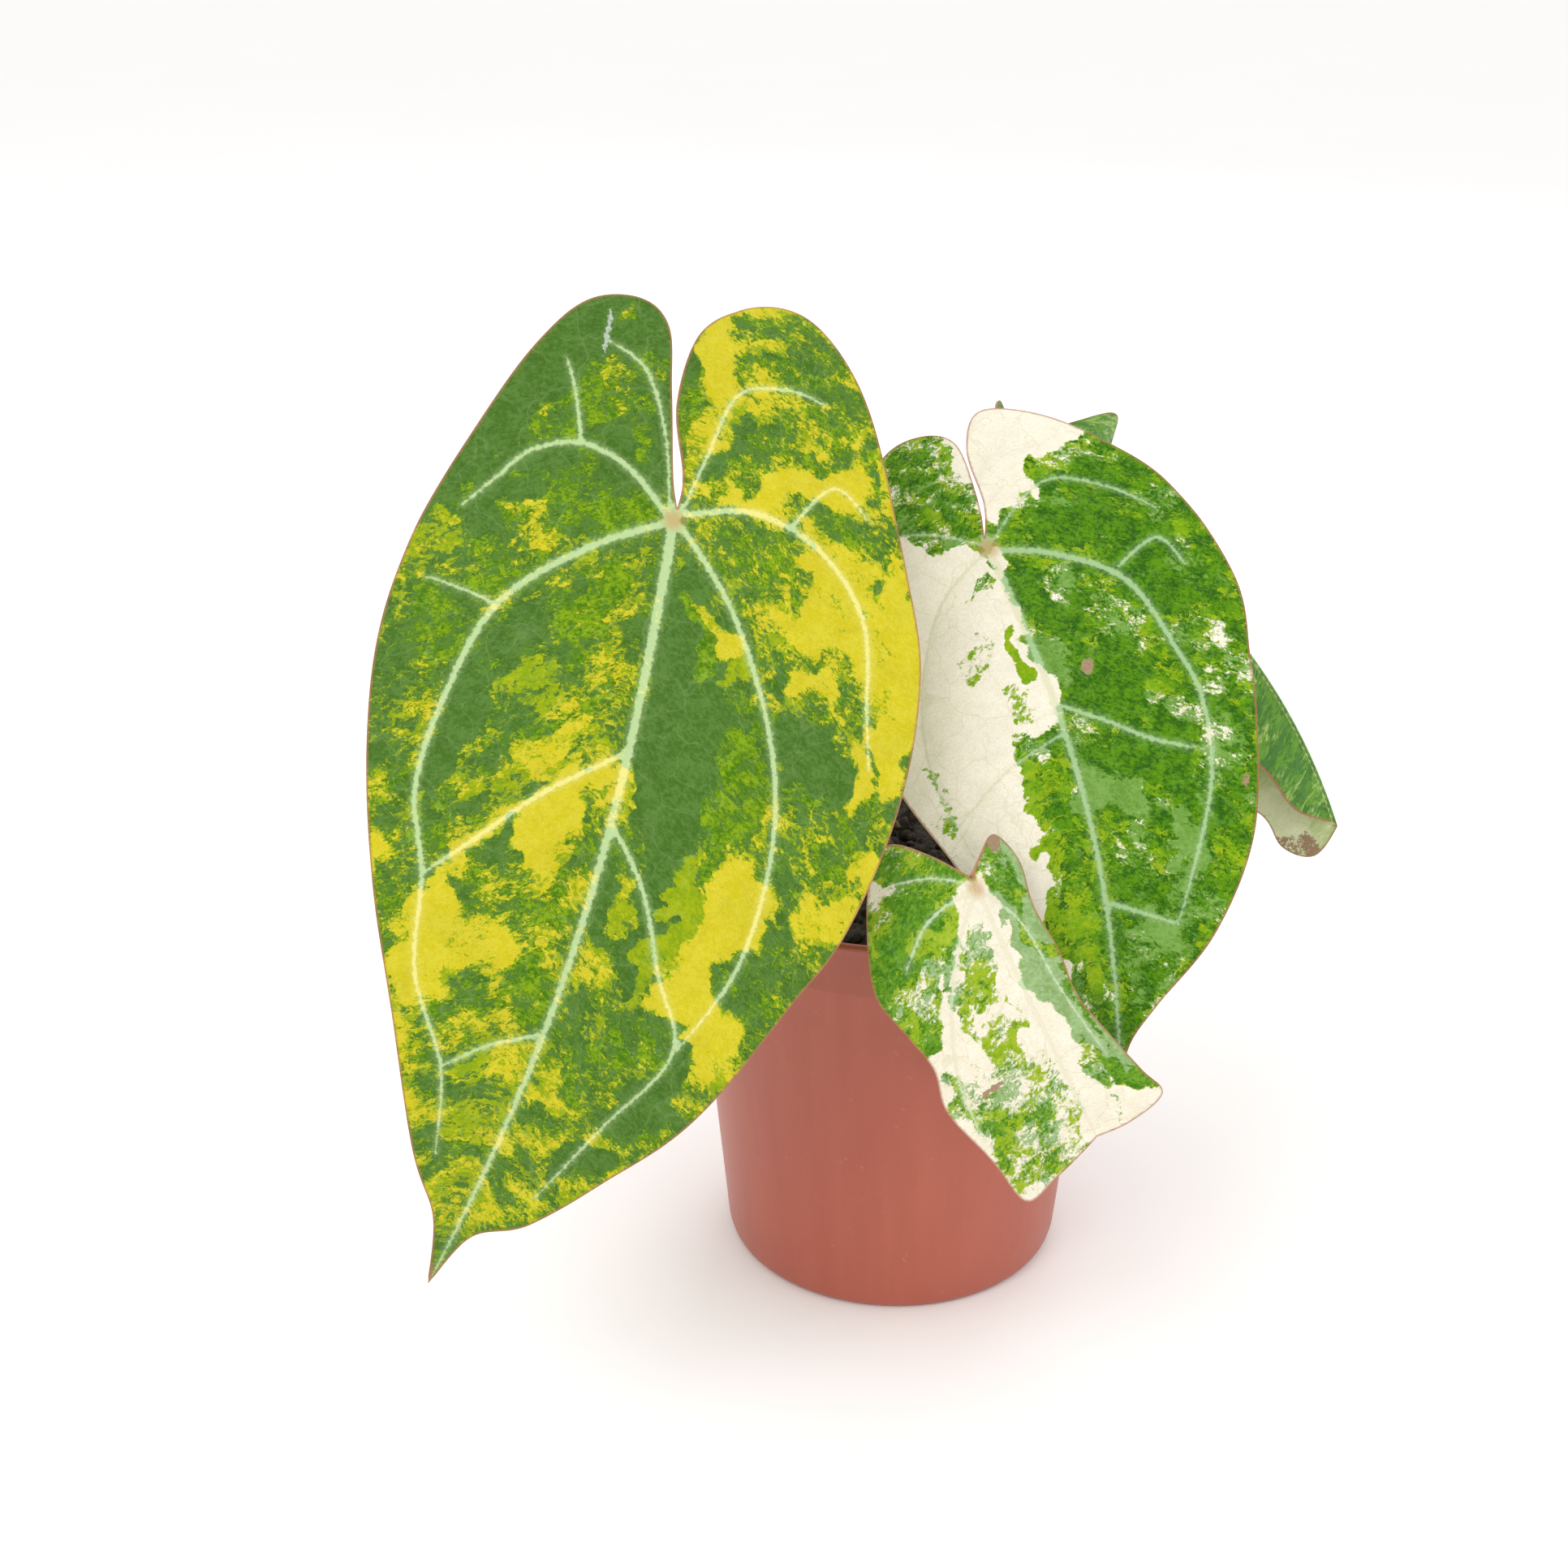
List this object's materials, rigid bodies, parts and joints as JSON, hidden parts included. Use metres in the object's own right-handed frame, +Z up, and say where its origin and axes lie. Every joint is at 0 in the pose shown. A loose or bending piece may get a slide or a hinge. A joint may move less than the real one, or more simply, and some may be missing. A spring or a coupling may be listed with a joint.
{
  "type": "potted variegated crystal anthurium",
  "caption": "Potted aroid with drooping heart-shaped, pale-veined, green, yellow and white variegated leaves on slender petioles, in a tapered round nursery pot.",
  "frame": {"origin": "centre of the underside of the pot, on the surface it stands on", "axes": "+Z up along the pot's axis; -Y towards the front, the side the large leaves face; +X to the right seen from the front"},
  "size_m": [0.2405, 0.2071, 0.2644],
  "materials": {
    "pot_plastic": "satin terracotta-coloured moulded plastic",
    "soil": "damp crumbly bark and peat mix",
    "crown": "brown papery sheaths over a green stem",
    "petiole": "smooth green",
    "leaf_yellow": "velvety, green and yellow variegated with silvery veins",
    "leaf_white": "velvety, green and cream variegated with silvery veins",
    "leaf_green": "velvety green with a paler matt underside"
  },
  "bodies": {
    "root": {"pot": "pot_plastic", "soil": "soil", "crown": "crown", "blade_large_yellow": "leaf_yellow", "petiole_large_yellow": "petiole", "blade_middle_white": "leaf_white", "petiole_middle_white": "petiole", "blade_small_cut": "leaf_white", "petiole_small_cut": "petiole", "blade_rear_folded": "leaf_green", "petiole_rear_folded": "petiole"}
  },
  "joints": []
}
